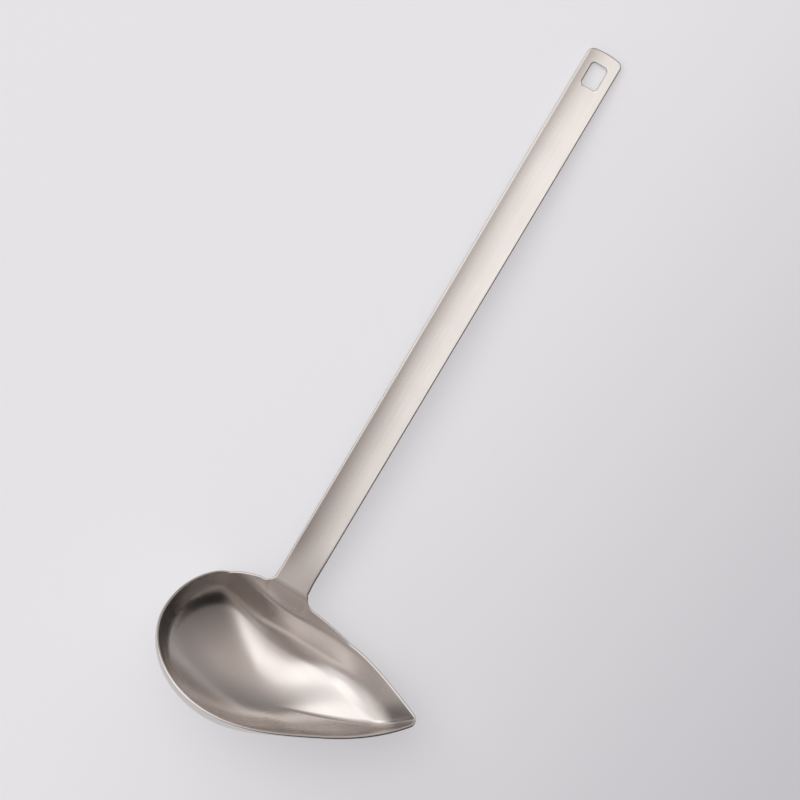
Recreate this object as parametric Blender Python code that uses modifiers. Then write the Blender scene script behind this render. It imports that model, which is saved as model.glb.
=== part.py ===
"""Side-pouring ladle: a pressed bowl with a spout at its side, a strip handle and the weld between them.

The pieces are shaped in the bowl's own frame: the rim lies in Z = 0, +Y runs to the handle and +X to the
spout, with the origin where the handle's axis meets the bowl's edge. One empty then lays the ladle on a
table, on the underside of its bowl and the end of its handle. Metres, +Z up.
"""
import bmesh
import bpy
import math
import numpy as np
from mathutils import Matrix, Vector
from mathutils.geometry import interpolate_bezier

# Bowl, measured in the plane of its rim on the wet side. A heading is the way the edge runs, clockwise
ROUND_END_REACH = 0.0387
ROUND_END_SETBACK = 0.0282
FAR_REACH = 0.0591
FAR_POINT_PLACE = -0.0030
FAR_EDGE_JOIN = Vector((0.0417, -0.0424))
FAR_EDGE_JOIN_HEADING = math.radians(-150)
SPOUT_REACH = 0.0706
SPOUT_SETBACK = 0.0160
SPOUT_TIP_RADIUS = 0.0030
SPOUT_NEAR_HEADING = math.radians(-25)
SPOUT_FAR_HEADING = math.radians(-127)
BOWL_DEPTH = 0.0260
DEEPEST_PLACE = Vector((0.0110, -0.0310))
ROUND_END_WALL_ANGLE = math.radians(80)
SPOUT_WALL_ANGLE = math.radians(52)
WALL_STEEPENING = 0.6
ROUND_END_WALL_SHARE = 0.375
SPOUT_WALL_SHARE = 0.466
HANDLE_SIDE_EXTRA_SHARE = 0.14
CREASE_RUN = 0.0062
HANDLE_SIDE_CREASE_RUN = 0.0040
HANDLE_SIDE_WALL_ANGLE = math.radians(73)
HANDLE_SIDE_SPREAD = (0.35, 1.0)
CREASE_PULL = 0.6
SHEET = 0.0012
RIM_EASE = 0.0003

# Land between the bowl's wall and the handle's foot, and where it runs out into the rim on either side
LAND_LENGTH = 0.0051
LAND_RISE = math.radians(45)
FOOT_WIDTH = 0.0182
LAND_FADE = 3
SHOULDER_RUN = 0.0030
SHOULDER_PULL = 0.75
SHOULDER_HEADING = math.radians(-1)
SPOUT_SIDE_JOIN = Vector((0.0454, -0.0033))
SPOUT_SIDE_JOIN_HEADING = math.radians(-18.5)
SPOUT_SIDE_FILLET = Vector((0.0063,0.0018))
SPOUT_SIDE_FILLET_HEADINGS = (math.radians(-45), math.radians(-6))
ROUND_SIDE_JOIN = Vector((-0.0292, -0.0034))
ROUND_SIDE_JOIN_HEADING = math.radians(46)
ROUND_SIDE_FILLET = Vector((0.0048,0.0008))
ROUND_SIDE_FILLET_HEADINGS = (math.radians(14), math.radians(30))

# Handle, measured along its middle from the crease at its foot
HANDLE_LENGTH = 0.2551
HANDLE_THICKNESS = 0.0018
NECK_WIDTH = 0.0157
WAIST_WIDTH = 0.0151
END_WIDTH = 0.0157
NECK_FLARE_RUN = 0.0060
FOOT_RISE = math.radians(38)
HANDLE_BEND = math.radians(8)
DISH_DEPTH = 0.0006
DISH_RUN_IN = 0.0250
END_CROWN = 0.0011
END_CROWN_RUN_IN = 0.0150
END_CORNER_RADIUS = 0.0024
HANDLE_EASE = 0.0004

# Hanging hole near the handle's end
HOLE_WIDTH = 0.0070
HOLE_LENGTH = 0.0107
HOLE_CORNER_RADIUS = 0.0015
HOLE_TO_END = 0.0058
HOLE_CUTTER_DEPTH = 0.0108

# Weld along the crease, and the gap to the two pieces that it joins
WELD_RUN = 0.0024
FIT_GAP = 0.0003

# Steel of each piece, as colour and roughness
BOWL_STEEL = ((0.66, 0.63, 0.60), 0.26)
HANDLE_STEEL = ((0.72, 0.70, 0.67), 0.30)
WELD_STEEL = ((0.62, 0.60, 0.57), 0.34)

# How finely the round forms are divided
EDGE_STEPS = {"fillet": 6, "near": 9, "spout": 8, "tip": 8, "far": 11, "lobe": 14, "crown": 9, "foot": 6}
LAND_RINGS = 5
WALL_RINGS = 2
CREASE_RINGS = 4
FLOOR_RINGS = 5
FLARE_ROWS = 4
HANDLE_ROWS = 22
HANDLE_COLUMNS = 6
CORNER_STEPS = 4
EASE_STEPS = 2
WELD_STEPS = 6
HARD_EDGE = math.radians(40)
EASED_EDGE = math.radians(55)
SAME_PLACE = 0.00001
SMALL_TURN = math.radians(0.5)
STEEPEST_TILT = math.radians(-80)
TILT_HALVINGS = 60


def heading(angle):
    """Unit vector in a plane, its angle taken from the first axis."""
    return Vector((math.cos(angle), math.sin(angle)))


def soft_step(value, low, high):
    """Rises smoothly from 0 at low to 1 at high."""
    share = min(max((value - low) / (high - low), 0.0), 1.0)
    return share * share * (3.0 - 2.0 * share)


def curve_between(start, start_angle, end, end_angle, steps):
    """Points of a curve that leaves start at one heading and meets end at another, without the end itself.

    Its pull is the one that draws a circular arc where both ends lie alike.
    """
    turn = abs(math.remainder(end_angle - start_angle, math.tau))
    share = math.tan(turn / 4) / math.sin(turn / 2) * 2 / 3 if turn > SMALL_TURN else 1 / 3
    pull = share * (end - start).length
    knots = (start, start + heading(start_angle) * pull, end - heading(end_angle) * pull, end)
    points = interpolate_bezier(*[knot.to_3d() for knot in knots], steps + 1)
    return [point.to_2d() for point in points[:-1]]


def satin_steel(name, colour, roughness):
    """Brushed stainless steel."""
    material = bpy.data.materials.new(name)
    material.use_nodes = True
    shader = material.node_tree.nodes["Principled BSDF"]
    shader.inputs["Base Color"].default_value = (*colour, 1.0)
    shader.inputs["Metallic"].default_value = 1.0
    shader.inputs["Roughness"].default_value = roughness
    return material


def add_piece(name, mesh, material, collection):
    """Object for one piece, shaded smooth apart from its hard edges."""
    mesh.materials.append(material)
    mesh.shade_smooth()
    mesh.set_sharp_from_angle(angle=HARD_EDGE)
    piece = bpy.data.objects.new(name, mesh)
    collection.objects.link(piece)
    return piece


def thicken(piece, thickness, ease):
    """Gives an open surface its wall, behind its faces, and eases the edges."""
    wall = piece.modifiers.new("wall", "SOLIDIFY")
    wall.thickness = thickness
    wall.offset = -1.0
    wall.use_even_offset = True
    edges = piece.modifiers.new("eased edges", "BEVEL")
    edges.limit_method = "ANGLE"
    edges.angle_limit = EASED_EDGE
    edges.width = ease
    edges.segments = EASE_STEPS


def curve_to_mesh(name, curve):
    """Closed mesh of a filled curve, with its caps joined to its sides."""
    drawn = bpy.data.objects.new(name, curve)
    bpy.context.scene.collection.objects.link(drawn)
    bpy.context.view_layer.update()
    mesh = bpy.data.meshes.new_from_object(drawn.evaluated_get(bpy.context.evaluated_depsgraph_get()))
    bpy.data.objects.remove(drawn)
    bpy.data.curves.remove(curve)
    shell = bmesh.new()
    shell.from_mesh(mesh)
    bmesh.ops.remove_doubles(shell, verts=shell.verts, dist=SAME_PLACE)
    bmesh.ops.recalc_face_normals(shell, faces=shell.faces)
    shell.to_mesh(mesh)
    shell.free()
    mesh.name = name
    return mesh


def flat_outline(name, points, depth):
    """Closed mesh of an outline, standing half its depth to either side of its plane."""
    curve = bpy.data.curves.new(name, "CURVE")
    curve.dimensions = "2D"
    curve.fill_mode = "BOTH"
    curve.extrude = depth / 2
    spline = curve.splines.new("POLY")
    spline.points.add(len(points) - 1)
    for knot, point in zip(spline.points, points):
        knot.co = (point.x, point.y, 0.0, 1.0)
    spline.use_cyclic_u = True
    return curve_to_mesh(name, curve)


def edge_points(stations):
    """Points along an edge through stations of place, heading and the name of the stretch that follows."""
    points = []
    for (start, leaving, stretch), (end, arriving, _) in zip(stations, stations[1:]):
        points += curve_between(start, leaving, end, arriving, EDGE_STEPS[stretch])
    return points


def land_height(place):
    """Height of the land above the plane of the rim, from how far it is towards the handle."""
    return max(place, 0.0) * math.tan(LAND_RISE)


def bowl_edges():
    """Edge of the sheet and top of the wall, seen square to the rim. They differ only along the land."""
    foot = LAND_LENGTH - WELD_RUN / 2 * math.cos(LAND_RISE)
    foot_spout_side = Vector((FOOT_WIDTH / 2, foot))
    foot_round_side = Vector((-FOOT_WIDTH / 2, foot))
    tip_centre = Vector((SPOUT_REACH - SPOUT_TIP_RADIUS, -SPOUT_SETBACK))
    tip_start = tip_centre + heading(SPOUT_NEAR_HEADING + math.pi / 2) * SPOUT_TIP_RADIUS
    tip_end = tip_centre + heading(SPOUT_FAR_HEADING + math.pi / 2) * SPOUT_TIP_RADIUS
    rim = (
        (SPOUT_SIDE_JOIN, SPOUT_SIDE_JOIN_HEADING, "spout"),
        (tip_start, SPOUT_NEAR_HEADING, "tip"),
        (tip_end, SPOUT_FAR_HEADING, "spout"),
        (FAR_EDGE_JOIN, FAR_EDGE_JOIN_HEADING, "far"),
        (Vector((FAR_POINT_PLACE, -FAR_REACH)), math.pi, "lobe"),
        (Vector((-ROUND_END_REACH, -ROUND_END_SETBACK)), math.pi / 2, "crown"),
        (ROUND_SIDE_JOIN, ROUND_SIDE_JOIN_HEADING, "near"),
    )
    start_of_land = (
        (foot_spout_side, SPOUT_SIDE_FILLET_HEADINGS[0], "fillet"),
        (foot_spout_side + SPOUT_SIDE_FILLET * Vector((1, -1)), SPOUT_SIDE_FILLET_HEADINGS[1], "near"),
    )
    end_of_land = (
        (foot_round_side - ROUND_SIDE_FILLET, ROUND_SIDE_FILLET_HEADINGS[0], "fillet"),
        (foot_round_side, ROUND_SIDE_FILLET_HEADINGS[1], None),
    )
    shoulder = (Vector((0.0, 0.0)), SHOULDER_HEADING, "near")
    sheet_edge = edge_points(start_of_land + rim + end_of_land)
    steps = EDGE_STEPS["foot"]
    sheet_edge += [foot_round_side.lerp(foot_spout_side, step / steps) for step in range(steps)]
    wall_top = edge_points(rim + (shoulder, rim[0]))
    return sheet_edge, wall_top


def wall_section(reach, land, lift, from_spout, handle_side):
    """Section of the bowl from its edge to its deepest place, as (distance from that place, height).

    reach is the distance to the top of the wall, land and lift the run and height of the land outside it,
    from_spout the angle to the spout's own section and handle_side how far the section turns to the handle,
    up to 1. The wall runs straight down to a crease, past which the floor is a dish.
    """
    turned_away = (1 - math.cos(from_spout)) / 2
    steepness = SPOUT_WALL_ANGLE + (ROUND_END_WALL_ANGLE - SPOUT_WALL_ANGLE) * turned_away ** WALL_STEEPENING
    steepness += (HANDLE_SIDE_WALL_ANGLE - steepness) * handle_side
    flatness = min(land / LAND_LENGTH, 1.0)
    land_fall = math.atan2(lift, land)
    land_way = heading(math.pi + land_fall + (steepness - land_fall) * (1 - flatness) ** LAND_FADE)
    wall_way = heading(math.pi + steepness)

    start = Vector((reach + land, lift))
    shoulder = Vector((reach, 0.0)) + wall_way * SHOULDER_RUN
    land_knot = start + land_way * land * SHOULDER_PULL
    upper = (start, land_knot, shoulder - wall_way * SHOULDER_RUN * SHOULDER_PULL, shoulder)
    run = CREASE_RUN + (HANDLE_SIDE_CREASE_RUN - CREASE_RUN) * handle_side
    share = SPOUT_WALL_SHARE + (ROUND_END_WALL_SHARE - SPOUT_WALL_SHARE) * turned_away
    share += HANDLE_SIDE_EXTRA_SHARE * handle_side
    crease = shoulder + wall_way * (share * BOWL_DEPTH + shoulder.y) / math.sin(steepness)
    wall_foot = crease - wall_way * run
    rise = (1 - share) * BOWL_DEPTH / crease.x ** 2
    floor_edge = Vector((crease.x - run, rise * (crease.x - run) ** 2 - BOWL_DEPTH))
    floor_way = Vector((1.0, 2 * rise * floor_edge.x))
    floor_knot = Vector((floor_edge.x / 2, -BOWL_DEPTH))
    bottom = Vector((0.0, -BOWL_DEPTH))
    wall_knot = wall_foot + wall_way * run * CREASE_PULL
    edge_knot = floor_edge + floor_way * run * CREASE_PULL
    turn = (wall_foot, wall_knot, edge_knot, floor_edge)
    dish = (floor_edge, floor_edge.lerp(floor_knot, 2 / 3), bottom.lerp(floor_knot, 2 / 3), bottom)

    section = interpolate_bezier(*[knot.to_3d() for knot in upper], LAND_RINGS + 1)
    section += [shoulder.lerp(wall_foot, ring / WALL_RINGS).to_3d() for ring in range(1, WALL_RINGS + 1)]
    section += interpolate_bezier(*[knot.to_3d() for knot in turn], CREASE_RINGS + 1)[1:]
    return section + interpolate_bezier(*[knot.to_3d() for knot in dish], FLOOR_RINGS + 1)[1:]


def make_bowl(material, collection):
    """Pressed bowl, lofted through sections that all meet at its deepest place."""
    sheet_edge, wall_top = bowl_edges()
    spout_spoke = Vector((SPOUT_REACH, -SPOUT_SETBACK)) - DEEPEST_PLACE
    top_spokes = [point - DEEPEST_PLACE for point in wall_top]
    top_angles = [spout_spoke.angle_signed(spoke) for spoke in top_spokes]
    top_reaches = [spoke.length for spoke in top_spokes]

    shell = bmesh.new()
    rings = [[] for _ in range(LAND_RINGS + WALL_RINGS + CREASE_RINGS + FLOOR_RINGS)]
    for point in sheet_edge:
        spoke = point - DEEPEST_PLACE
        angle = spout_spoke.angle_signed(spoke)
        reach = np.interp(angle, top_angles, top_reaches, period=math.tau)
        handle_side = soft_step(spoke.y / spoke.length, *HANDLE_SIDE_SPREAD)
        land = max(spoke.length - reach, 0.0)
        section = wall_section(reach, land, land_height(point.y), angle, handle_side)
        for ring, (distance, height, _) in zip(rings, section):
            place = DEEPEST_PLACE + spoke.normalized() * distance
            ring.append(shell.verts.new((place.x, place.y, height)))
    bottom = shell.verts.new((*DEEPEST_PLACE, -BOWL_DEPTH))
    around = range(len(rings[0]))
    for outer, inner in zip(rings, rings[1:]):
        for i in around:
            shell.faces.new((outer[i], inner[i], inner[i - 1], outer[i - 1]))
    for i in around:
        shell.faces.new((rings[-1][i], bottom, rings[-1][i - 1]))
    bmesh.ops.recalc_face_normals(shell, faces=shell.faces)
    if bottom.normal.z < 0:
        bmesh.ops.reverse_faces(shell, faces=shell.faces)
    mesh = bpy.data.meshes.new("bowl")
    shell.to_mesh(mesh)
    shell.free()
    bowl = add_piece("bowl", mesh, material, collection)
    thicken(bowl, SHEET, RIM_EASE)
    return bowl


def handle_frame(along):
    """Point on the handle's bowed middle line, and the rise of the handle there."""
    bend = HANDLE_BEND / HANDLE_LENGTH
    rise = FOOT_RISE - bend * along
    forward = (math.sin(FOOT_RISE) - math.sin(rise)) / bend
    upward = (math.cos(rise) - math.cos(FOOT_RISE)) / bend
    return Vector((0.0, LAND_LENGTH + forward, land_height(LAND_LENGTH) + upward)), rise


def handle_width(along):
    """Width of the strip before its end corners are rounded: flared at the neck, then slowly wider."""
    flare = 1 - soft_step(along, WELD_RUN / 2, WELD_RUN / 2 + NECK_FLARE_RUN)
    widening = soft_step(along, 0.0, HANDLE_LENGTH)
    return WAIST_WIDTH + (NECK_WIDTH - WAIST_WIDTH) * flare + (END_WIDTH - WAIST_WIDTH) * widening


def handle_stations():
    """Distances along the handle with the half width of the strip at each, round the end corners too."""
    corner_start = HANDLE_LENGTH - END_CORNER_RADIUS
    start = WELD_RUN / 2
    stations = []
    for row in range(FLARE_ROWS):
        along = start + NECK_FLARE_RUN * row / FLARE_ROWS
        stations.append((along, handle_width(along) / 2))
    start += NECK_FLARE_RUN
    for row in range(HANDLE_ROWS):
        along = start + (corner_start - start) * row / HANDLE_ROWS
        stations.append((along, handle_width(along) / 2))
    for step in range(CORNER_STEPS + 1):
        turn = math.pi / 2 * step / CORNER_STEPS
        along = corner_start + END_CORNER_RADIUS * math.sin(turn)
        stations.append((along, END_WIDTH / 2 - END_CORNER_RADIUS * (1 - math.cos(turn))))
    return stations


def make_handle(material, collection, cutters):
    """Bowed and dished strip with a rounded end and a hanging hole."""
    strip = bmesh.new()
    rows = []
    for along, half_width in handle_stations():
        dish = DISH_DEPTH * soft_step(along, 0.0, DISH_RUN_IN)
        crown = END_CROWN * soft_step(along, HANDLE_LENGTH - END_CROWN_RUN_IN, HANDLE_LENGTH)
        row = []
        for column in range(HANDLE_COLUMNS + 1):
            across = half_width * (2 * column / HANDLE_COLUMNS - 1)
            aside = (2 * across / END_WIDTH) ** 2
            middle, rise = handle_frame(along - crown * aside)
            lift = Vector((0.0, -math.sin(rise), math.cos(rise))) * dish * aside
            row.append(strip.verts.new(middle + lift + Vector((across, 0.0, 0.0))))
        rows.append(row)
    for low, high in zip(rows, rows[1:]):
        for column in range(HANDLE_COLUMNS):
            strip.faces.new((low[column], low[column + 1], high[column + 1], high[column]))
    mesh = bpy.data.meshes.new("handle")
    strip.to_mesh(mesh)
    strip.free()
    handle = add_piece("handle", mesh, material, collection)
    thicken(handle, HANDLE_THICKNESS, HANDLE_EASE)

    half = Vector((HOLE_WIDTH / 2, HOLE_LENGTH / 2))
    radius = HOLE_CORNER_RADIUS
    corners = ((1, -1, -90), (1, 1, 0), (-1, 1, 90), (-1, -1, 180))
    outline = []
    for side, end, first in corners:
        centre = Vector((side * (half.x - radius), end * (half.y - radius)))
        for step in range(CORNER_STEPS + 1):
            outline.append(centre + heading(math.radians(first + 90 * step / CORNER_STEPS)) * radius)
    cutter_mesh = flat_outline("hanging_hole_cutter", outline, HOLE_CUTTER_DEPTH)
    cutter = bpy.data.objects.new("hanging_hole_cutter", cutter_mesh)
    cutters.objects.link(cutter)
    cutter.hide_render = True
    cutter.display_type = "WIRE"
    middle, rise = handle_frame(HANDLE_LENGTH - HOLE_TO_END - HOLE_LENGTH / 2)
    cutter.location = middle
    cutter.rotation_euler = (rise, 0.0, 0.0)
    cut = handle.modifiers.new("hanging hole", "BOOLEAN")
    cut.operation = "DIFFERENCE"
    cut.solver = "EXACT"
    cut.object = cutter
    return handle, cutter


def make_neck_weld(material, collection):
    """Dressed weld in the crease. It narrows and thickens from the bowl's foot to the handle's."""
    reach = WELD_RUN / 2 - FIT_GAP
    crease = Vector((LAND_LENGTH, land_height(LAND_LENGTH)))
    land_top = crease - heading(LAND_RISE) * reach
    land_under = land_top + heading(LAND_RISE - math.pi / 2) * SHEET
    handle_top = crease + heading(FOOT_RISE) * reach
    handle_under = handle_top + heading(FOOT_RISE - math.pi / 2) * HANDLE_THICKNESS
    section = curve_between(handle_top, FOOT_RISE + math.pi, land_top, LAND_RISE + math.pi, WELD_STEPS)
    section.append(land_top)
    section += curve_between(land_under, LAND_RISE, handle_under, FOOT_RISE, WELD_STEPS)
    section.append(handle_under)
    mesh = flat_outline("neck_weld", section, FOOT_WIDTH)
    # The section is drawn flat, so it is stood up along the handle, with its depth across
    mesh.transform(Matrix(((0, 0, 1, 0), (1, 0, 0, 0), (0, 1, 0, 0), (0, 0, 0, 1))))
    for vertex in mesh.vertices:
        share = min((vertex.co.y - land_top.x) / (handle_top.x - land_top.x), 1.0)
        vertex.co.x *= 1 + (NECK_WIDTH / FOOT_WIDTH - 1) * share
    return add_piece("neck_weld", mesh, material, collection)


def lay_on_table(pieces, rest):
    """Tilts the ladle until bowl and handle both touch Z = 0, centred over the origin."""
    bpy.context.view_layer.update()
    graph = bpy.context.evaluated_depsgraph_get()
    clouds = []
    for piece in pieces:
        mesh = piece.evaluated_get(graph).to_mesh()
        cloud = np.empty(len(mesh.vertices) * 3)
        mesh.vertices.foreach_get("co", cloud)
        clouds.append(cloud.reshape(-1, 3))
    bowl, handle = clouds[:2]

    def lowest(cloud, tilt):
        return (cloud @ np.array((0.0, math.sin(tilt), math.cos(tilt)))).min()

    most, least = STEEPEST_TILT, 0.0
    for _ in range(TILT_HALVINGS):
        tilt = (most + least) / 2
        if lowest(handle, tilt) > lowest(bowl, tilt):
            least = tilt
        else:
            most = tilt
    turn = Matrix.Rotation(tilt, 4, "X")
    laid = np.concatenate(clouds) @ np.array(turn.to_3x3()).T
    low, high = laid.min(axis=0), laid.max(axis=0)
    rest.rotation_euler = (tilt, 0.0, 0.0)
    rest.location = (-(low[0] + high[0]) / 2, -(low[1] + high[1]) / 2, -low[2])


def build():
    for item in list(bpy.data.objects):
        bpy.data.objects.remove(item, do_unlink=True)
    ladle = bpy.data.collections.new("side_pouring_ladle")
    cutters = bpy.data.collections.new("cutters")
    for collection in (ladle, cutters):
        bpy.context.scene.collection.children.link(collection)

    bowl = make_bowl(satin_steel("satin steel bowl", *BOWL_STEEL), ladle)
    handle, cutter = make_handle(satin_steel("brushed steel handle", *HANDLE_STEEL), ladle, cutters)
    weld = make_neck_weld(satin_steel("dressed weld", *WELD_STEEL), ladle)

    rest = bpy.data.objects.new("rest_on_table", None)
    ladle.objects.link(rest)
    lay_on_table((bowl, handle, weld), rest)
    for piece in (bowl, handle, weld, cutter):
        piece.parent = rest


build()
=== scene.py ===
"""Side-pouring ladle of satin stainless steel, lying bowl up on a pale table."""
import math
import bpy
import numpy as np
from mathutils import Matrix, Vector


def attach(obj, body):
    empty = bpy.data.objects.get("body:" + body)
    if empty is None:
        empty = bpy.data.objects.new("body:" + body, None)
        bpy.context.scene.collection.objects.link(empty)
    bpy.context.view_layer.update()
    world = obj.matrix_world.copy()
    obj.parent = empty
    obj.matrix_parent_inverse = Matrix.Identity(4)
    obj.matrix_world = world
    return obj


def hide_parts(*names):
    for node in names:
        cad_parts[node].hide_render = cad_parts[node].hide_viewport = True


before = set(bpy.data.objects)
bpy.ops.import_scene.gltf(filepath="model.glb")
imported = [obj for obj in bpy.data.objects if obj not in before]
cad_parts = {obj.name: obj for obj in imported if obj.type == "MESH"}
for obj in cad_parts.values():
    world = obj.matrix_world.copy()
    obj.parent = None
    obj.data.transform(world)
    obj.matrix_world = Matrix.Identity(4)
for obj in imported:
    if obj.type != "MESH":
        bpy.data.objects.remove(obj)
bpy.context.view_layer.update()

# Bowl. One blank of stainless sheet, deep drawn in a press with its spout and with the short land that rises
# out of the rim to the handle's foot. The rim is trimmed and its edges rounded over, and the whole is
# polished to a satin finish whose fine scratches run round the hollow.
SHEET = 0.0012
RIM_ROUND = 0.00048
RIM_ROUND_STEPS = 5
RIM_ROUND_RUN_OUT = 0.0020
LEAST_ROUND = 0.01
ROUND_END = ((-0.0387, -0.0282), math.radians(90))
FAR_POINT = ((-0.0030, -0.05907), math.radians(180))
FAR_EDGE_JOIN = ((0.0417, -0.0424), math.radians(-150))
SPOUT_REACH = 0.0706
SPOUT_SETBACK = 0.0160
SPOUT_TIP_RADIUS = 0.0030
SPOUT_NEAR_HEADING = math.radians(-25)
SPOUT_FAR_HEADING = math.radians(-127)
BOWL_DEPTH = 0.0260
DEEPEST_PLACE = np.array((0.0110, -0.0310))
ROUND_END_WALL_ANGLE = math.radians(80)
SPOUT_WALL_ANGLE = math.radians(52)
WALL_STEEPENING = 0.6
ROUND_END_WALL_SHARE = 0.375
SPOUT_WALL_SHARE = 0.466
HANDLE_SIDE_EXTRA_SHARE = 0.14
CREASE_RUN = 0.0062
HANDLE_SIDE_CREASE_RUN = 0.0040
HANDLE_SIDE_WALL_ANGLE = math.radians(73)
HANDLE_SIDE_SPREAD = (0.35, 1.0)
CREASE_PULL = 0.6
DISH_BLENDING = math.radians(36)
DISH_BLENDING_MOST = 0.0010
DISH_LIFT = 0.0009
LAND_LENGTH = 0.0051
LAND_RISE = math.radians(45)
LAND_HEIGHT = LAND_LENGTH * math.tan(LAND_RISE)
LAND_FADE = 3
WELD_RUN = 0.0024
FOOT_WIDTH = 0.0182
FOOT_LINE = LAND_LENGTH - WELD_RUN / 2 * math.cos(LAND_RISE)
SHOULDER = ((0.0, 0.0), math.radians(-1))
SHOULDER_RUN = 0.0030
SHOULDER_PULL = 0.75
SPOUT_SIDE_JOIN = ((0.0454, -0.0033), math.radians(-18.5))
SPOUT_SIDE_FILLET = (0.0063, -0.0018)
SPOUT_SIDE_FILLET_HEADINGS = (math.radians(-45), math.radians(-6))
ROUND_SIDE_JOIN = ((-0.0292, -0.0034), math.radians(46))
ROUND_SIDE_FILLET = (-0.0048, -0.0008)
ROUND_SIDE_FILLET_HEADINGS = (math.radians(14), math.radians(30))
SMALL_TURN = 0.001
EDGE_STEPS = {"fillet": 16, "near": 40, "spout": 34, "tip": 20, "far": 40, "lobe": 56, "crown": 36}
FOOT_STEPS = 24
SECTION_STEPS = 160
WALL_RINGS = 84
RING_CROWDING = 1.35
SHARP_EDGE = math.radians(50)
EDGE_FADE = 0.0005
FINE_DETAIL, BROAD_DETAIL, HAZE_DETAIL = 2.0, 1.0, 3.0
FINE_SHARE = 0.6
BROAD_SPACING = 4.5
BROAD_STROKE = 2.0
DEEP_SCRATCH = 0.20
DEEP_SCRATCH_RUN = (0.60, 0.74)
SCRATCH_RUN = (0.25, 0.75)
SCRATCH_DEPTH = 0.000004
HAZE_RUN = (0.3, 0.7)
POLISH_PATCH = 0.004
POLISH_PATCH_DETAIL = 2.0
POLISH_PATCH_RUN = (0.3, 0.65)
POLISH_LEAST = 0.55
BRUSHING_ROUND_RADIUS = 0.040


def heading(angle):
    """Unit vector in a plane, its angle taken from the first axis."""
    return np.array((np.cos(angle), np.sin(angle)))


def cubic(knots, steps):
    """Points of the cubic curve that four knots draw, without its last point."""
    t = np.linspace(0.0, 1.0, steps, endpoint=False)[:, None]
    a, b, c, d = (np.asarray(knot, float) for knot in knots)
    return a * (1 - t) ** 3 + 3 * b * t * (1 - t) ** 2 + 3 * c * t * t * (1 - t) + d * t ** 3


def curve_between(start, start_angle, end, end_angle, steps):
    """Curve that leaves start at one heading and meets end at another, an arc where they lie alike."""
    start, end = np.asarray(start, float), np.asarray(end, float)
    turn = abs(math.remainder(end_angle - start_angle, math.tau))
    share = math.tan(turn / 4) / math.sin(turn / 2) * 2 / 3 if turn > SMALL_TURN else 1 / 3
    pull = share * np.linalg.norm(end - start)
    return cubic((start, start + heading(start_angle) * pull, end - heading(end_angle) * pull, end), steps)


def edge_points(stations):
    """Points along an edge through stations of place, heading and the name of the stretch that follows."""
    stretches = []
    for (start, leaving, stretch), (end, arriving, _) in zip(stations, stations[1:]):
        stretches.append(curve_between(start, leaving, end, arriving, EDGE_STEPS[stretch]))
    return np.concatenate(stretches)


def bowl_edges():
    """Edge of the sheet and top of the wall, in the plane of the rim. They differ only along the land."""
    foot_spout_side = np.array((FOOT_WIDTH / 2, FOOT_LINE))
    foot_round_side = np.array((-FOOT_WIDTH / 2, FOOT_LINE))
    tip_centre = np.array((SPOUT_REACH - SPOUT_TIP_RADIUS, -SPOUT_SETBACK))
    tip_start = tip_centre + heading(SPOUT_NEAR_HEADING + math.pi / 2) * SPOUT_TIP_RADIUS
    tip_end = tip_centre + heading(SPOUT_FAR_HEADING + math.pi / 2) * SPOUT_TIP_RADIUS
    rim = (
        (*SPOUT_SIDE_JOIN, "spout"),
        (tip_start, SPOUT_NEAR_HEADING, "tip"),
        (tip_end, SPOUT_FAR_HEADING, "spout"),
        (*FAR_EDGE_JOIN, "far"),
        (*FAR_POINT, "lobe"),
        (*ROUND_END, "crown"),
        (*ROUND_SIDE_JOIN, "near"),
    )
    start_of_land = (
        (foot_spout_side, SPOUT_SIDE_FILLET_HEADINGS[0], "fillet"),
        (foot_spout_side + SPOUT_SIDE_FILLET, SPOUT_SIDE_FILLET_HEADINGS[1], "near"),
    )
    end_of_land = (
        (foot_round_side + ROUND_SIDE_FILLET, ROUND_SIDE_FILLET_HEADINGS[0], "fillet"),
        (foot_round_side, ROUND_SIDE_FILLET_HEADINGS[1], None),
    )
    along_foot = np.linspace(0.0, 1.0, FOOT_STEPS, endpoint=False)[:, None]
    foot = foot_round_side + (foot_spout_side - foot_round_side) * along_foot
    sheet_edge = np.concatenate((edge_points(start_of_land + rim + end_of_land), foot))
    wall_top = edge_points(rim + ((*SHOULDER, "near"), rim[0]))
    return sheet_edge, wall_top


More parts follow.
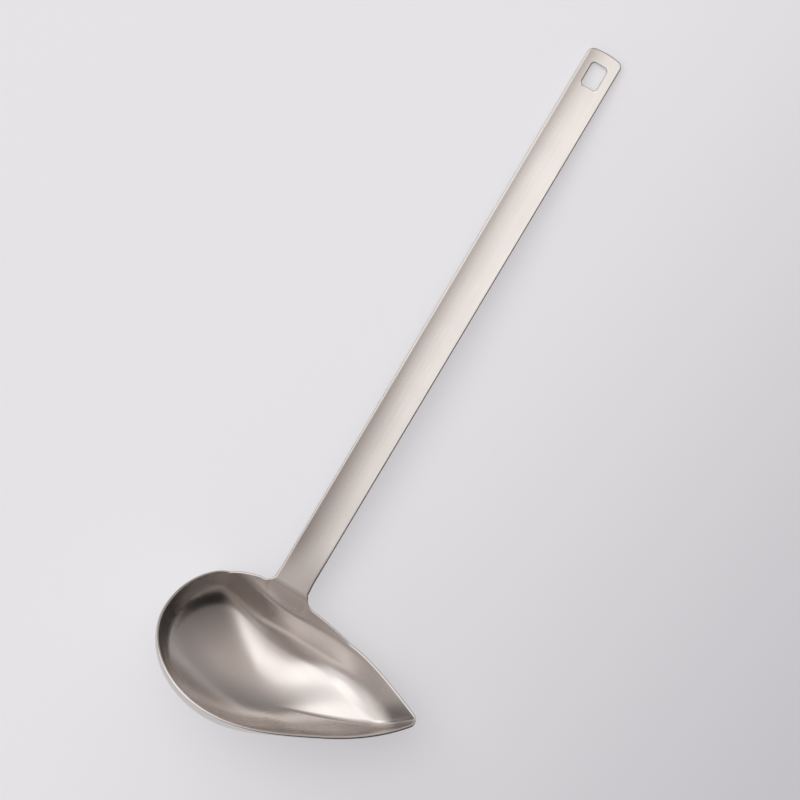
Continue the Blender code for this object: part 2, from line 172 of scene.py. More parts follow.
def wall_section(reach, land, lift, from_spout, handle_side):
    """Section from the edge to the deepest place, as points of distance from that place and height.

    With it come the crease's distance and how fast the dish rises, as height by distance squared.
    """
    turned_away = (1 - math.cos(from_spout)) / 2
    steepness = SPOUT_WALL_ANGLE + (ROUND_END_WALL_ANGLE - SPOUT_WALL_ANGLE) * turned_away ** WALL_STEEPENING
    steepness += (HANDLE_SIDE_WALL_ANGLE - steepness) * handle_side
    flatness = min(land / LAND_LENGTH, 1.0)
    land_fall = math.atan2(lift, land)
    land_way = heading(math.pi + land_fall + (steepness - land_fall) * (1 - flatness) ** LAND_FADE)
    wall_way = heading(math.pi + steepness)
    start = np.array((reach + land, lift))
    shoulder = np.array((reach, 0.0)) + wall_way * SHOULDER_RUN
    land_knot = start + land_way * land * SHOULDER_PULL
    upper = (start, land_knot, shoulder - wall_way * SHOULDER_RUN * SHOULDER_PULL, shoulder)
    run = CREASE_RUN + (HANDLE_SIDE_CREASE_RUN - CREASE_RUN) * handle_side
    share = SPOUT_WALL_SHARE + (ROUND_END_WALL_SHARE - SPOUT_WALL_SHARE) * turned_away
    share += HANDLE_SIDE_EXTRA_SHARE * handle_side
    crease = shoulder + wall_way * (share * BOWL_DEPTH + shoulder[1]) / math.sin(steepness)
    wall_foot = crease - wall_way * run
    rise = (1 - share) * BOWL_DEPTH / crease[0] ** 2
    floor_edge = np.array((crease[0] - run, rise * (crease[0] - run) ** 2 - BOWL_DEPTH))
    floor_way = np.array((1.0, 2 * rise * floor_edge[0]))
    floor_knot = np.array((floor_edge[0] / 2, -BOWL_DEPTH))
    bottom = np.array((0.0, -BOWL_DEPTH))
    wall = (shoulder, shoulder * 2 / 3 + wall_foot / 3, shoulder / 3 + wall_foot * 2 / 3, wall_foot)
    wall_knot = wall_foot + wall_way * run * CREASE_PULL
    edge_knot = floor_edge + floor_way * run * CREASE_PULL
    turn = (wall_foot, wall_knot, edge_knot, floor_edge)
    dish = (floor_edge, floor_edge / 3 + floor_knot * 2 / 3, bottom / 3 + floor_knot * 2 / 3, bottom)
    stretches = [cubic(knots, SECTION_STEPS) for knots in (upper, wall, turn, dish)]
    return np.concatenate(stretches + [(bottom,)]), crease[0], rise


def ring_places(section, inset, shares):
    """Points along a section at shares of the way from an inset at its edge to its end."""
    steps = np.linalg.norm(np.diff(section, axis=0), axis=1)
    distance = np.concatenate(((0.0,), np.cumsum(steps)))
    places = inset + (distance[-1] - inset) * shares
    return np.interp(places, distance, section[:, 0]), np.interp(places, distance, section[:, 1])


def signed_angle(first, second):
    """Angle from the first direction to the second, clockwise."""
    return np.arctan2(first[1] * second[..., 0] - first[0] * second[..., 1], second @ first)


def dish_evening(angles, rises, distances, out_share):
    """Heights that even out the dish's rise from spoke to spoke, so that its floor runs smoothly round."""
    apart = np.angle(np.exp(1j * (angles[:, None] - angles[None])))
    weights = np.exp(-0.5 * (apart / DISH_BLENDING) ** 2) * np.abs(np.gradient(np.unwrap(angles)))
    short_of_even = weights @ rises / weights.sum(axis=1) - rises
    heights = short_of_even * distances ** 2 * (1 - out_share ** 2) ** 2
    return DISH_BLENDING_MOST * np.tanh(heights / DISH_BLENDING_MOST)


def bowl_loops():
    """Closed loops of points over the bowl's wet side, round its rim and back along its underside.

    With them comes how worn each point is: 1 on the rim, and 0 away from it and along the weld.
    """
    sheet_edge, wall_top = bowl_edges()
    spout_spoke = np.array((SPOUT_REACH, -SPOUT_SETBACK)) - DEEPEST_PLACE
    top_spokes = wall_top - DEEPEST_PLACE
    top_angles = signed_angle(spout_spoke, top_spokes)
    top_reaches = np.linalg.norm(top_spokes, axis=1)
    off_foot = np.clip(np.abs(sheet_edge[:, 0]) - FOOT_WIDTH / 2, 0.0, None) + FOOT_LINE - sheet_edge[:, 1]
    rim_round = RIM_ROUND * np.clip(off_foot / RIM_ROUND_RUN_OUT, LEAST_ROUND, 1.0)
    crowding = np.linspace(0.0, 1.0, WALL_RINGS, endpoint=False) ** RING_CROWDING

    wet_side = np.empty((WALL_RINGS, len(sheet_edge), 3))
    distances = np.empty((WALL_RINGS, len(sheet_edge)))
    outward = np.empty((len(sheet_edge), 3))
    angles, dish_reach, rises = np.empty((3, len(sheet_edge)))
    for i, point in enumerate(sheet_edge):
        spoke = point - DEEPEST_PLACE
        length = np.linalg.norm(spoke)
        angle = signed_angle(spout_spoke, spoke)
        reach = np.interp(angle, top_angles, top_reaches, period=math.tau)
        turned = np.clip(np.interp(spoke[1] / length, HANDLE_SIDE_SPREAD, (0.0, 1.0)), 0.0, 1.0)
        handle_side = turned * turned * (3 - 2 * turned)
        lift = max(point[1], 0.0) * math.tan(LAND_RISE)
        land = max(length - reach, 0.0)
        section, dish_reach[i], rises[i] = wall_section(reach, land, lift, angle, handle_side)
        distances[:, i], wet_side[:, i, 2] = ring_places(section, rim_round[i], crowding)
        wet_side[:, i, :2] = DEEPEST_PLACE + np.outer(distances[:, i], spoke / length)
        outward[i] = (*point, lift) - wet_side[0, i]
        angles[i] = angle
    outward /= np.linalg.norm(outward, axis=1)[:, None]
    out_share = np.clip(distances / dish_reach, 0.0, 1.0)
    wet_side[:, :, 2] += dish_evening(angles, rises, distances, out_share)
    around = np.roll(wet_side, -1, axis=1) - np.roll(wet_side, 1, axis=1)
    inward = np.gradient(wet_side, axis=0)
    normal = np.cross(inward, around)
    normal /= np.linalg.norm(normal, axis=2)[:, :, None]
    normal *= np.sign(normal[-1, 0, 2])

    over_rim, under_rim = [], []
    for turn in np.linspace(0.0, math.pi / 2, RIM_ROUND_STEPS + 1):
        out = wet_side[0] + rim_round[:, None] * outward * math.sin(turn)
        down = rim_round * (1 - math.cos(turn))
        over_rim.append(out - normal[0] * down[:, None])
        under_rim.insert(0, out - normal[0] * (SHEET - down)[:, None])
    underside = wet_side - SHEET * normal
    wet_side[:, :, 2] += DISH_LIFT * (1 - out_share ** 2) ** 2
    rim = np.concatenate((over_rim[1:], under_rim[:-1]))
    loops = np.concatenate((wet_side[::-1], rim, underside))
    from_rim = np.linalg.norm(loops[:, None] - rim[None], axis=3).min(axis=1)
    worn = np.clip(1 - from_rim / EDGE_FADE, 0.0, 1.0) * np.clip(off_foot / RIM_ROUND_RUN_OUT, 0.0, 1.0)
    return loops, worn


def closed_mesh(name, loops, first_pole, last_pole, worn):
    """Mesh skinned over loops of points, closed to a pole at either end.

    Its UV map runs once round the loops and, in metres, from the nearer pole across them. Its edge attribute
    is 1 on worn edges.
    """
    count, size = loops.shape[:2]
    points = np.concatenate((loops.reshape(-1, 3), (first_pole, last_pole)))
    index = np.arange(count * size).reshape(count, size)
    beside = np.roll(index, -1, axis=1)
    quads = np.stack((index[:-1], beside[:-1], beside[1:], index[1:]), axis=-1).reshape(-1, 4)
    first = np.stack((np.full(size, count * size), beside[0], index[0]), axis=-1)
    last = np.stack((np.full(size, count * size + 1), index[-1], beside[-1]), axis=-1)
    mesh = bpy.data.meshes.new(name)
    mesh.from_pydata(points.tolist(), [], quads.tolist() + first.tolist() + last.tolist())
    steps = np.linalg.norm(np.diff(loops, axis=0), axis=2).mean(axis=1)
    down = np.concatenate(((0.0,), np.cumsum(steps)))
    down = np.minimum(down, down[-1] - down)
    share = np.arange(size + 1) / size
    near_v, near_u = np.meshgrid(down[:-1], share[:-1], indexing="ij")
    far_v, far_u = np.meshgrid(down[1:], share[1:], indexing="ij")
    quad_uv = np.stack((near_u, near_v, far_u, near_v, far_u, far_v, near_u, far_v), axis=-1)
    middle = (share[:-1] + share[1:]) / 2
    pole = np.zeros(size)
    first_uv = np.stack((middle, pole, share[1:], pole, share[:-1], pole), axis=-1)
    last_uv = np.stack((middle, pole, share[:-1], pole, share[1:], pole), axis=-1)
    uv = np.concatenate((quad_uv.ravel(), first_uv.ravel(), last_uv.ravel()))
    mesh.uv_layers.new(name="brushing").data.foreach_set("uv", uv)
    edge = mesh.attributes.new("edge", "FLOAT", "POINT")
    edge.data.foreach_set("value", np.concatenate((worn.ravel(), (0.0, 0.0))))
    return mesh


# The ladle rests on the underside of its bowl and on the end of its handle, so the plane of the rim, in
# which its pieces are drawn, leans.
RIM_LEAN = math.radians(-36.306)
RIM_PLACE = (-0.0158280, -0.1046112, 0.0109653)
LIE = Matrix.Translation(RIM_PLACE) @ Matrix.Rotation(RIM_LEAN, 4, "X")


def add_piece(name, mesh, material):
    """Finished piece in its place, riding on the ladle and standing for the solid of the same name."""
    mesh.transform(LIE)
    mesh.shade_smooth()
    mesh.set_sharp_from_angle(angle=SHARP_EDGE)
    mesh.materials.clear()
    mesh.materials.append(material)
    piece = bpy.data.objects.new(name + "_satin", mesh)
    bpy.context.scene.collection.objects.link(piece)
    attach(piece, "root")
    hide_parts(name)


class Sums:
    """Arithmetic of a node tree, written as plain steps."""

    def __init__(self, tree):
        self.tree = tree

    def put(self, socket, value):
        if isinstance(value, bpy.types.NodeSocket):
            self.tree.links.new(value, socket)
        else:
            socket.default_value = value

    def step(self, operation, *values):
        node = self.tree.nodes.new("ShaderNodeMath")
        node.operation = operation
        for socket, value in zip(node.inputs, values):
            self.put(socket, value)
        return node.outputs[0]

    def add(self, a, b):
        return self.step("ADD", a, b)

    def less(self, a, b):
        return self.step("SUBTRACT", a, b)

    def times(self, a, b):
        return self.step("MULTIPLY", a, b)

    def over(self, a, b):
        return self.step("DIVIDE", a, b)

    def ramp(self, value, low, high, start, end, soft=False):
        node = self.tree.nodes.new("ShaderNodeMapRange")
        node.interpolation_type = "SMOOTHSTEP" if soft else "LINEAR"
        names = ("Value", "From Min", "From Max", "To Min", "To Max")
        for name, given in zip(names, (value, low, high, start, end)):
            self.put(node.inputs[name], given)
        return node.outputs["Result"]

    def split(self, vector=None):
        if vector is None:
            vector = self.tree.nodes.new("GeometryNodeInputPosition").outputs[0]
        node = self.tree.nodes.new("ShaderNodeSeparateXYZ")
        self.tree.links.new(vector, node.inputs[0])
        return node.outputs

    def move(self, shape, x, y, z):
        place = self.tree.nodes.new("ShaderNodeCombineXYZ")
        for socket, value in zip(place.inputs, (x, y, z)):
            self.put(socket, value)
        node = self.tree.nodes.new("GeometryNodeSetPosition")
        self.tree.links.new(shape, node.inputs["Geometry"])
        self.tree.links.new(place.outputs[0], node.inputs["Position"])
        return node.outputs[0]


def shader_group(name, inputs, outputs):
    """Empty shader node group with named sockets, and the sockets to build on."""
    group = bpy.data.node_groups.new(name, "ShaderNodeTree")
    for label, kind in inputs:
        group.interface.new_socket(label, in_out="INPUT", socket_type="NodeSocket" + kind)
    for label, kind in outputs:
        group.interface.new_socket(label, in_out="OUTPUT", socket_type="NodeSocket" + kind)
    return group, group.nodes.new("NodeGroupInput").outputs, group.nodes.new("NodeGroupOutput").inputs


def noise(sums, place, detail):
    """Soft noise of about one cell to each unit of place."""
    node = sums.tree.nodes.new("ShaderNodeTexNoise")
    node.inputs["Scale"].default_value = 1.0
    node.inputs["Detail"].default_value = detail
    sums.put(node.inputs["Vector"], place)
    return node.outputs[0]


def stretched(sums, place, across, along):
    """Place measured in cells of one size across the brushing and another along it."""
    cells = sums.tree.nodes.new("ShaderNodeCombineXYZ")
    for socket, cell in zip(cells.inputs, (across, along, along)):
        sums.put(socket, sums.over(1.0, cell))
    node = sums.tree.nodes.new("ShaderNodeVectorMath")
    node.operation = "MULTIPLY"
    sums.put(node.inputs[0], place)
    sums.put(node.inputs[1], cells.outputs[0])
    return node.outputs[0]


def make_brushing():
    """Group of the satin finish: fine scratches, a few deeper ones, and the haze of handling.

    Place holds metres: across the brushing first, then along it.
    """
    inputs = (("Place", "Vector"), ("Spacing", "Float"), ("Stroke", "Float"), ("Haze size", "Float"))
    outputs = (("Scratches", "Float"), ("Haze", "Float"))
    group, given, put_out = shader_group("satin brushing", inputs, outputs)
    sums = Sums(group)
    place, spacing, stroke, haze_size = (given[label] for label, _ in inputs)
    fine = noise(sums, stretched(sums, place, spacing, stroke), FINE_DETAIL)
    broad_spacing, broad_stroke = sums.times(spacing, BROAD_SPACING), sums.times(stroke, BROAD_STROKE)
    broad = noise(sums, stretched(sums, place, broad_spacing, broad_stroke), BROAD_DETAIL)
    deep = sums.ramp(broad, *DEEP_SCRATCH_RUN, 0.0, DEEP_SCRATCH, True)
    mixed = sums.add(sums.times(fine, FINE_SHARE), sums.times(broad, 1 - FINE_SHARE))
    scratches = sums.ramp(sums.less(mixed, deep), *SCRATCH_RUN, 0.0, 1.0)
    haze = noise(sums, stretched(sums, place, haze_size, haze_size), HAZE_DETAIL)
    sums.put(put_out["Scratches"], scratches)
    sums.put(put_out["Haze"], sums.ramp(haze, *HAZE_RUN, 0.0, 1.0, True))
    return group


def make_edge_polish():
    """Group of the worn edge: the burnished line that wiping and stacking leave, broken up along it."""
    inputs = (("Place", "Vector"), ("Edge", "Float"))
    group, given, put_out = shader_group("burnished edge", inputs, (("Polish", "Float"),))
    sums = Sums(group)
    patches = noise(sums, stretched(sums, given["Place"], POLISH_PATCH, POLISH_PATCH), POLISH_PATCH_DETAIL)
    polish = sums.times(given["Edge"], sums.ramp(patches, *POLISH_PATCH_RUN, POLISH_LEAST, 1.0))
    sums.put(put_out["Polish"], polish)
    return group


BRUSHING = make_brushing()
EDGE_POLISH = make_edge_polish()


def blend_colours(tree, share, first, second):
    """Colour that goes from the first to the second as the share rises."""
    node = tree.nodes.new("ShaderNodeMix")
    node.data_type = "RGBA"
    sums = Sums(tree)
    sums.put(node.inputs["Factor"], share)
    colour_sockets = [socket for socket in node.inputs if socket.type == "RGBA"]
    for socket, colour in zip(colour_sockets, (first, second)):
        sums.put(socket, colour if isinstance(colour, bpy.types.NodeSocket) else (*colour, 1.0))
    return next(socket for socket in node.outputs if socket.type == "RGBA")


def object_place(tree):
    """Place on a straight piece, whose brushing runs along the ladle."""
    return tree.nodes.new("ShaderNodeTexCoord").outputs["Object"]


def round_place(tree):
    """Place on the bowl, whose brushing runs round it, from its UV map."""
    uv = tree.nodes.new("ShaderNodeUVMap")
    uv.uv_map = "brushing"
    sums = Sums(tree)
    share, down, _ = sums.split(uv.outputs[0])
    angle = sums.times(share, math.tau)
    radius = sums.step("MINIMUM", down, BRUSHING_ROUND_RADIUS)
    place = tree.nodes.new("ShaderNodeCombineXYZ")
    sums.put(place.inputs[0], down)
    sums.put(place.inputs[1], sums.times(sums.step("COSINE", angle), radius))
    sums.put(place.inputs[2], sums.times(sums.step("SINE", angle), radius))
    return place.outputs[0]


def steel(name, finish, find_place):
    """Satin stainless steel with its brushing, haze and burnished edges."""
    material = bpy.data.materials.new(name)
    material.use_nodes = True
    tree = material.node_tree
    sums = Sums(tree)
    shader = tree.nodes["Principled BSDF"]
    shader.inputs["Metallic"].default_value = 1.0
    place = find_place(tree)
    brushed = tree.nodes.new("ShaderNodeGroup")
    brushed.node_tree = BRUSHING
    sums.put(brushed.inputs["Place"], place)
    for label in ("Spacing", "Stroke", "Haze size"):
        brushed.inputs[label].default_value = finish[label]
    edge = tree.nodes.new("ShaderNodeAttribute")
    edge.attribute_name = "edge"
    polished = tree.nodes.new("ShaderNodeGroup")
    polished.node_tree = EDGE_POLISH
    sums.put(polished.inputs["Place"], object_place(tree))
    sums.put(polished.inputs["Edge"], edge.outputs["Fac"])
    scratches, haze = brushed.outputs["Scratches"], brushed.outputs["Haze"]
    polish = polished.outputs["Polish"]
    colour = blend_colours(tree, scratches, finish["Furrow"], finish["Ridge"])
    colour = blend_colours(tree, polish, colour, finish["Burnish"])
    sums.put(shader.inputs["Base Color"], colour)
    smoothest, roughest = finish["Roughness"]
    hazed = sums.times(haze, (roughest - smoothest) / 2)
    scratched = sums.ramp(scratches, 0.0, 1.0, (smoothest + roughest) / 2, smoothest)
    burnished = sums.times(polish, finish["Burnish gloss"])
    sums.put(shader.inputs["Roughness"], sums.less(sums.add(hazed, scratched), burnished))
    bump = tree.nodes.new("ShaderNodeBump")
    bump.inputs["Strength"].default_value = finish["Scratch strength"]
    bump.inputs["Distance"].default_value = SCRATCH_DEPTH
    sums.put(bump.inputs["Height"], scratches)
    sums.put(shader.inputs["Normal"], bump.outputs[0])
    return material


BOWL_FINISH = {
    "Ridge": (0.670, 0.634, 0.614),
    "Furrow": (0.630, 0.594, 0.574),
    "Burnish": (0.720, 0.700, 0.685),
    "Roughness": (0.21, 0.29),
    "Burnish gloss": 0.05,
    "Spacing": 0.00016,
    "Stroke": 0.012,
    "Haze size": 0.016,
    "Scratch strength": 0.15,
}
loops, worn = bowl_loops()
wet_bottom = (*DEEPEST_PLACE, DISH_LIFT - BOWL_DEPTH)
dry_bottom = (*DEEPEST_PLACE, -BOWL_DEPTH - SHEET)
bowl_mesh = closed_mesh("bowl_satin", loops, wet_bottom, dry_bottom, worn)
add_piece("bowl", bowl_mesh, steel("satin bowl steel", BOWL_FINISH, round_place))


# Handle. A strip of thicker stainless, blanked with its hanging hole, bowed along its length and dished a
# little across, so that it is stiff. Its edges are tumbled round and its face is brushed lengthways.
HANDLE_ROWS = 250
CORNER_ROWS = 10
HANDLE_COLUMNS = 29
EDGE_ROWS = 8
PUNCH_STEPS = 72
PUNCH_STANDS_PAST = 1.05
HANDLE_SIZES = {
    "Length": 0.2551,
    "Thickness": 0.0018,
    "Start": WELD_RUN / 2,
    "Neck width": 0.0157,
    "Waist width": 0.0151,
    "End width": 0.0157,
    "Flare run": 0.0060,
    "Corner radius": 0.0024,
    "Edge round": 0.00060,
    "Hole width": 0.0070,
    "Hole length": 0.0107,
    "Hole corner": 0.0015,
    "Hole to end": 0.0058,
    "Hole edge round": 0.00045,
    "Foot rise": math.radians(38),
    "Bend": math.radians(8),
    "Dish depth": 0.0006,
    "Dish run in": 0.0250,
    "End crown": 0.0011,
    "End crown run in": 0.0150,
}


def rounded_edge(sums, level, half, radius, stands_past=1.0):
    """Height of a level of a plate with rounded edges, and how far its edge has drawn back there."""
    turn = sums.ramp(sums.step("ABSOLUTE", level), 1 / (EDGE_ROWS - 1), 1.0, 0.0, math.pi / 2)
    rise = sums.times(sums.times(radius, stands_past), sums.step("SINE", turn))
    height = sums.add(sums.less(half, radius), rise)
    drawn_back = sums.times(radius, sums.less(1.0, sums.step("COSINE", turn)))
    return sums.times(sums.step("SIGN", level), height), drawn_back


def handle_tree(material):
    """Node tree of the handle: a flat plate, its hanging hole, and then its dish and bow."""
    tree = bpy.data.node_groups.new("bowed strip handle", "GeometryNodeTree")
    for name, value in HANDLE_SIZES.items():
        socket = tree.interface.new_socket(name, in_out="INPUT", socket_type="NodeSocketFloat")
        socket.default_value = value
    tree.interface.new_socket("Handle", in_out="OUTPUT", socket_type="NodeSocketGeometry")
    size = tree.nodes.new("NodeGroupInput").outputs
    sums = Sums(tree)
    half = sums.over(size["Thickness"], 2.0)

    plate = tree.nodes.new("GeometryNodeMeshCube")
    plate.inputs["Size"].default_value = (2.0, 1.0, 2.0)
    plate.inputs["Vertices X"].default_value = HANDLE_COLUMNS
    plate.inputs["Vertices Y"].default_value = HANDLE_ROWS + CORNER_ROWS + 1
    plate.inputs["Vertices Z"].default_value = EDGE_ROWS
    across, along, level = sums.split()
    share = sums.add(along, 0.5)
    corner_share = HANDLE_ROWS / (HANDLE_ROWS + CORNER_ROWS)
    height, drawn_back = rounded_edge(sums, level, half, size["Edge round"])
    corner_start = sums.less(size["Length"], size["Corner radius"])
    body = sums.ramp(share, 0.0, corner_share, size["Start"], corner_start)
    turn = sums.ramp(share, corner_share, 1.0, 0.0, math.pi / 2)
    flare_end = sums.add(size["Start"], size["Flare run"])
    flare_width = sums.less(size["Neck width"], size["Waist width"])
    flare = sums.ramp(body, size["Start"], flare_end, flare_width, 0.0, True)
    taper = sums.ramp(body, 0.0, size["Length"], size["Waist width"], size["End width"], True)
    width = sums.add(flare, taper)
    radius = sums.less(size["Corner radius"], drawn_back)
    corner_centre = sums.less(sums.over(width, 2.0), size["Corner radius"])
    side = sums.add(corner_centre, sums.times(radius, sums.step("COSINE", turn)))
    reach = sums.add(body, sums.times(radius, sums.step("SINE", turn)))
    flat = sums.move(plate.outputs["Mesh"], sums.times(across, side), reach, height)

    punch = tree.nodes.new("GeometryNodeMeshCylinder")
    punch.inputs["Vertices"].default_value = PUNCH_STEPS
    punch.inputs["Side Segments"].default_value = EDGE_ROWS - 1
    punch.inputs["Radius"].default_value = 1.0
    punch.inputs["Depth"].default_value = 2.0
    across, along, level = sums.split()
    height, drawn_back = rounded_edge(sums, level, half, size["Hole edge round"], PUNCH_STANDS_PAST)
    radius = sums.add(size["Hole corner"], drawn_back)
    places = []
    for way, length in ((across, size["Hole width"]), (along, size["Hole length"])):
        centre = sums.less(sums.over(length, 2.0), size["Hole corner"])
        places.append(sums.add(sums.times(sums.step("SIGN", way), centre), sums.times(way, radius)))
    middle = sums.less(sums.less(size["Length"], size["Hole to end"]), sums.over(size["Hole length"], 2.0))
    hole = sums.move(punch.outputs["Mesh"], places[0], sums.add(places[1], middle), height)
    punched = tree.nodes.new("GeometryNodeMeshBoolean")
    punched.operation = "DIFFERENCE"
    punched.solver = "EXACT"
    tree.links.new(flat, punched.inputs["Mesh 1"])
    tree.links.new(hole, punched.inputs["Mesh 2"])

    across, along, level = sums.split()
    aside = sums.step("POWER", sums.over(sums.times(across, 2.0), size["End width"]), 2.0)
    dish = sums.times(aside, sums.ramp(along, 0.0, size["Dish run in"], 0.0, size["Dish depth"], True))
    crown_start = sums.less(size["Length"], size["End crown run in"])
    crown = sums.times(aside, sums.ramp(along, crown_start, size["Length"], 0.0, size["End crown"], True))
    bend = sums.over(size["Bend"], size["Length"])
    rise = sums.less(size["Foot rise"], sums.times(bend, sums.less(along, crown)))
    lift = sums.add(sums.less(level, half), dish)
    sine, cosine = sums.step("SINE", rise), sums.step("COSINE", rise)
    forward = sums.over(sums.less(sums.step("SINE", size["Foot rise"]), sine), bend)
    upward = sums.over(sums.less(cosine, sums.step("COSINE", size["Foot rise"])), bend)
    ahead = sums.less(sums.add(forward, LAND_LENGTH), sums.times(sine, lift))
    above = sums.add(sums.add(upward, LAND_HEIGHT), sums.times(cosine, lift))
    full_width = sums.ramp(along, 0.0, size["Length"], size["Waist width"], size["End width"])
    to_side = sums.less(sums.over(full_width, 2.0), sums.step("ABSOLUTE", across))
    to_end = sums.less(size["Length"], along)
    hole_sides = ((across, size["Hole width"]), (sums.less(along, middle), size["Hole length"]))
    past_hole = [sums.less(sums.step("ABSOLUTE", way), sums.over(length, 2.0)) for way, length in hole_sides]
    to_edge = sums.step("MINIMUM", sums.step("MINIMUM", to_side, to_end), sums.step("MAXIMUM", *past_hole))
    worn = tree.nodes.new("GeometryNodeStoreNamedAttribute")
    worn.data_type = "FLOAT"
    worn.domain = "POINT"
    worn.inputs["Name"].default_value = "edge"
    tree.links.new(punched.outputs["Mesh"], worn.inputs["Geometry"])
    sums.put(worn.inputs["Value"], sums.ramp(to_edge, 0.0, EDGE_FADE, 1.0, 0.0))
    bowed = sums.move(worn.outputs["Geometry"], across, ahead, above)

    realized = tree.nodes.new("GeometryNodeRealizeInstances")
    tree.links.new(bowed, realized.inputs[0])
    dressed = tree.nodes.new("GeometryNodeSetMaterial")
    dressed.inputs["Material"].default_value = material
    tree.links.new(realized.outputs[0], dressed.inputs["Geometry"])
    tree.links.new(dressed.outputs[0], tree.nodes.new("NodeGroupOutput").inputs["Handle"])
    return tree


HANDLE_FINISH = {
    "Ridge": (0.600, 0.570, 0.550),
    "Furrow": (0.545, 0.515, 0.495),
    "Burnish": (0.640, 0.620, 0.605),
    "Roughness": (0.24, 0.32),
    "Burnish gloss": 0.06,
    "Spacing": 0.00014,
    "Stroke": 0.030,
    "Haze size": 0.022,
    "Scratch strength": 0.30,
}
handle_steel = steel("brushed handle steel", HANDLE_FINISH, object_place)
tree = handle_tree(handle_steel)
blank = bpy.data.objects.new("handle_blank", bpy.data.meshes.new("handle_blank"))
bpy.context.scene.collection.objects.link(blank)
shaping = blank.modifiers.new("bowed strip", "NODES")
shaping.node_group = tree
for socket in tree.interface.items_tree:
    if socket.in_out == "INPUT":
        shaping[socket.identifier] = HANDLE_SIZES[socket.name]
bpy.context.view_layer.update()
shaped = blank.evaluated_get(bpy.context.evaluated_depsgraph_get())
handle_mesh = bpy.data.meshes.new_from_object(shaped)
bpy.data.objects.remove(blank)
add_piece("handle", handle_mesh, handle_steel)


# Weld. A butt weld along the crease between the bowl's land and the handle's foot, ground flush and brushed
# over until the land seems to run on into the handle.
WELD_STEPS = 12
WELD_COLUMNS = 28
WELD_ROUND_STEPS = 4
WELD_ROUND_PACE = 3
WELD_WEAR = 0.6
FOOT_RISE = HANDLE_SIZES["Foot rise"]


def strip_loop(width, thickness, edge_round):
    """Outline of a strip's cross section with rounded edges, as points of place across and depth.

    It goes round by the right edge, the underside, the left edge and the top.
    """
    half = width / 2
    corners = ((1, -edge_round, 90), (1, edge_round - thickness, 0),
               (-1, edge_round - thickness, -90), (-1, -edge_round, -180))
    turns = np.radians(np.linspace(0.0, -90.0, WELD_ROUND_STEPS + 1))
    flat = np.linspace(half - edge_round, edge_round - half, WELD_COLUMNS + 1)[1:-1]
    loop = []
    for side, depth, first in corners:
        for turn in turns:
            way = heading(math.radians(first) + turn)
            loop.append((side * (half - edge_round) + way[0] * edge_round, depth + way[1] * edge_round))
        if first in (0, -180):
            level = loop[-1][1]
            loop.extend((side * across, level) for across in flat)
    return np.array(loop)


def weld_loops():
    """Cross sections of the weld, from the edge of the land round the crease to the foot of the handle."""
    crease = np.array((LAND_LENGTH, LAND_HEIGHT))
    start = crease - heading(LAND_RISE) * WELD_RUN / 2
    end = crease + heading(FOOT_RISE) * WELD_RUN / 2
    line = np.concatenate((curve_between(start, LAND_RISE, end, FOOT_RISE, WELD_STEPS), (end,)))
    loops = []
    for step, (ahead, height) in enumerate(line):
        share = step / WELD_STEPS
        rise = LAND_RISE + (FOOT_RISE - LAND_RISE) * share
        width = FOOT_WIDTH + (HANDLE_SIZES["Neck width"] - FOOT_WIDTH) * share
        thickness = SHEET + (HANDLE_SIZES["Thickness"] - SHEET) * share
        rounding = LEAST_ROUND + (1 - LEAST_ROUND) * min(share * WELD_ROUND_PACE, 1.0)
        across, depth = strip_loop(width, thickness, RIM_ROUND * rounding).T
        loops.append(np.stack((across, ahead - np.sin(rise) * depth, height + np.cos(rise) * depth), axis=1))
    return np.array(loops)


WELD_FINISH = {**HANDLE_FINISH, "Stroke": 0.006, "Roughness": (0.21, 0.29)}
loops = weld_loops()
at_sides = np.abs(loops[:1, :, 0]) > FOOT_WIDTH / 2 - EDGE_FADE
worn = np.repeat(at_sides * WELD_WEAR, len(loops), axis=0)
weld_mesh = closed_mesh("neck_weld_satin", loops, loops[0].mean(axis=0), loops[-1].mean(axis=0), worn)
add_piece("neck_weld", weld_mesh, steel("dressed weld steel", WELD_FINISH, object_place))


# Table. A broad sheet of matt white card, which runs on far past the ladle on every side. The ladle only
# lies on it. It glows pale where seen straight or in reflections, palest at the upper left of the camera's
# view, with painted shade that darkens that glow at the lower right.
TABLE_REACH = 6.0
CARD_ROUGHNESS = 0.8
CARD_COLOUR = (0.91, 0.925, 0.985)
CARD_GLOW = (0.99, 0.985, 1.0)
CARD_GLOW_SHARE = 0.41
# Painted shade: the colour the card's glow darkens to at the lower right, along the way and run below.
CARD_SHADE = (0.40, 0.40, 0.43)
CARD_SHADE_WAY = math.radians(-6)
CARD_SHADE_RUN = (-0.07, 0.27)
table_mesh = bpy.data.meshes.new("table")
table_corners = [(x * TABLE_REACH, y * TABLE_REACH, 0.0) for x, y in ((-1, -1), (1, -1), (1, 1), (-1, 1))]
table_mesh.from_pydata(table_corners, [], [(0, 1, 2, 3)])
table = bpy.data.objects.new("table", table_mesh)
bpy.context.scene.collection.objects.link(table)
card = bpy.data.materials.new("matt white card")
card.use_nodes = True
card_nodes = card.node_tree.nodes
sums = Sums(card.node_tree)
matt = card_nodes["Principled BSDF"]
matt.inputs["Base Color"].default_value = (*CARD_COLOUR, 1.0)
matt.inputs["Roughness"].default_value = CARD_ROUGHNESS
seen = card_nodes.new("ShaderNodeLightPath").outputs
card_glow_with_painted_shade = card_nodes.new("ShaderNodeEmission")
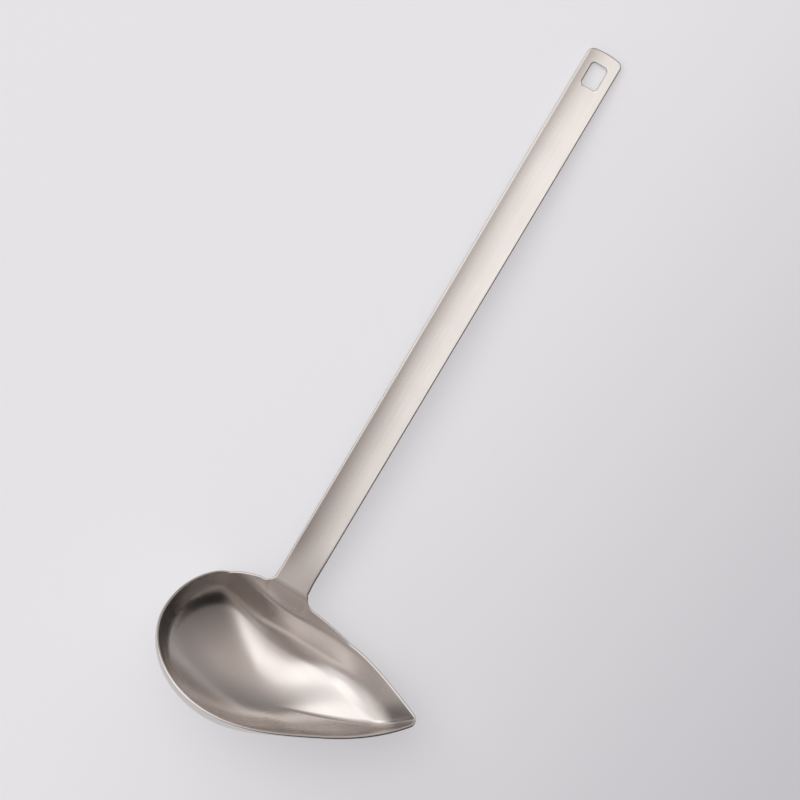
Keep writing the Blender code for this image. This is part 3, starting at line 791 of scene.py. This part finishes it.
# Painted shade: the card's glow fades from CARD_GLOW to CARD_SHADE across the table, not from any lamp.
x, y, _ = sums.split(object_place(card.node_tree))
shaded = sums.add(sums.times(x, math.cos(CARD_SHADE_WAY)), sums.times(y, math.sin(CARD_SHADE_WAY)))
shaded = sums.ramp(shaded, *CARD_SHADE_RUN, 0.0, 1.0, True)
sums.put(card_glow_with_painted_shade.inputs["Color"], blend_colours(card.node_tree, shaded, CARD_GLOW, CARD_SHADE))
pale = card_nodes.new("ShaderNodeMixShader")
mirrored = sums.step("MAXIMUM", seen["Is Glossy Ray"], seen["Is Transmission Ray"])
watched = sums.step("MAXIMUM", seen["Is Camera Ray"], mirrored)
sums.put(pale.inputs[0], sums.times(watched, CARD_GLOW_SHARE))
sums.put(pale.inputs[1], matt.outputs[0])
sums.put(pale.inputs[2], card_glow_with_painted_shade.outputs[0])
sums.put(card_nodes["Material Output"].inputs["Surface"], pale.outputs[0])
table_mesh.materials.append(card)


# Light. A softbox hangs at the upper left of the camera's view. The ceiling and walls of the room send the
# rest: palest overhead, grey all round, and dark low down and on the near side. Each stretch of wall has a
# direction, the angles in degrees at which it begins and is full, and a colour, laid over those before it.
CAMERA_ROLL = math.radians(30.748)
BOX_SIZE = (1.10, 0.80)
BOX_PLACE = (-1.00, 0.62, 1.30)
BOX_GLOW = 0.62
BOX_TINT = (1.0, 0.985, 0.97)
ROOM = (0.68, 0.610, 0.575)
WALLS = (
    ((-1.0, 0.10, 0.80), 55, 15, (1.15, 1.13, 1.12)),
    ((-1.0, 0.17, 0.25), 31, 17, (0.06, 0.055, 0.055)),
    ((-0.35, 0.45, 1.0), 43, 12, (1.10, 1.085, 1.075)),
    ((0.02, 0.30, 1.0), 27, 8, (1.64, 1.60, 1.58)),
    ((0.45, 0.85, 0.10), 42, 10, (0.28, 0.265, 0.26)),
    ((-0.05, -0.65, 1.0), 38, 10, (0.36, 0.30, 0.275)),
    ((1.0, 0.25, 0.02), 26, 6, (0.36, 0.34, 0.33)),
    ((0.85, -0.55, 0.50), 58, 20, (0.02, 0.019, 0.019)),
)


def studio(right, up, height):
    """Place in the studio, from how far it is to the right and up in the camera's view, and its height."""
    return Matrix.Rotation(CAMERA_ROLL, 3, "Z") @ Vector((right, up, height))


lamp = bpy.data.lights.new("softbox", "AREA")
lamp.shape = "RECTANGLE"
lamp.size, lamp.size_y = BOX_SIZE
lamp.energy = BOX_GLOW * math.pi * lamp.size * lamp.size_y
lamp.color = BOX_TINT
softbox = bpy.data.objects.new("softbox", lamp)
bpy.context.scene.collection.objects.link(softbox)
softbox.location = studio(*BOX_PLACE)
softbox.rotation_euler = softbox.location.to_track_quat("Z", "Y").to_euler()

world = bpy.data.worlds.new("studio room")
world.use_nodes = True
room = Sums(world.node_tree)
looking = world.node_tree.nodes.new("ShaderNodeTexCoord").outputs["Generated"]
glow = ROOM
for way, begins, is_full, colour in WALLS:
    dot = world.node_tree.nodes.new("ShaderNodeVectorMath")
    dot.operation = "DOT_PRODUCT"
    world.node_tree.links.new(looking, dot.inputs[0])
    dot.inputs[1].default_value = studio(*way).normalized()
    outer, inner = math.cos(math.radians(begins)), math.cos(math.radians(is_full))
    share = room.ramp(dot.outputs["Value"], outer, inner, 0.0, 1.0, True)
    glow = blend_colours(world.node_tree, share, glow, colour)
world.node_tree.links.new(glow, world.node_tree.nodes["Background"].inputs["Color"])
bpy.context.scene.world = world
bpy.context.scene.view_settings.view_transform = "Standard"


# Camera. It looks straight down from a metre above the table, and is rolled so that the ladle lies aslant in
# the picture, with its handle to the upper right.
CAMERA_PLACE = (-0.016546, -0.008836, 1.0)
CAMERA_SENSOR = 36.0
CAMERA_LENS = 109.29
camera_data = bpy.data.cameras.new("camera")
camera_data.sensor_width = CAMERA_SENSOR
camera_data.lens = CAMERA_LENS
camera = bpy.data.objects.new("camera", camera_data)
camera.location = CAMERA_PLACE
camera.rotation_euler = (0.0, 0.0, CAMERA_ROLL)
bpy.context.scene.collection.objects.link(camera)
bpy.context.scene.camera = camera
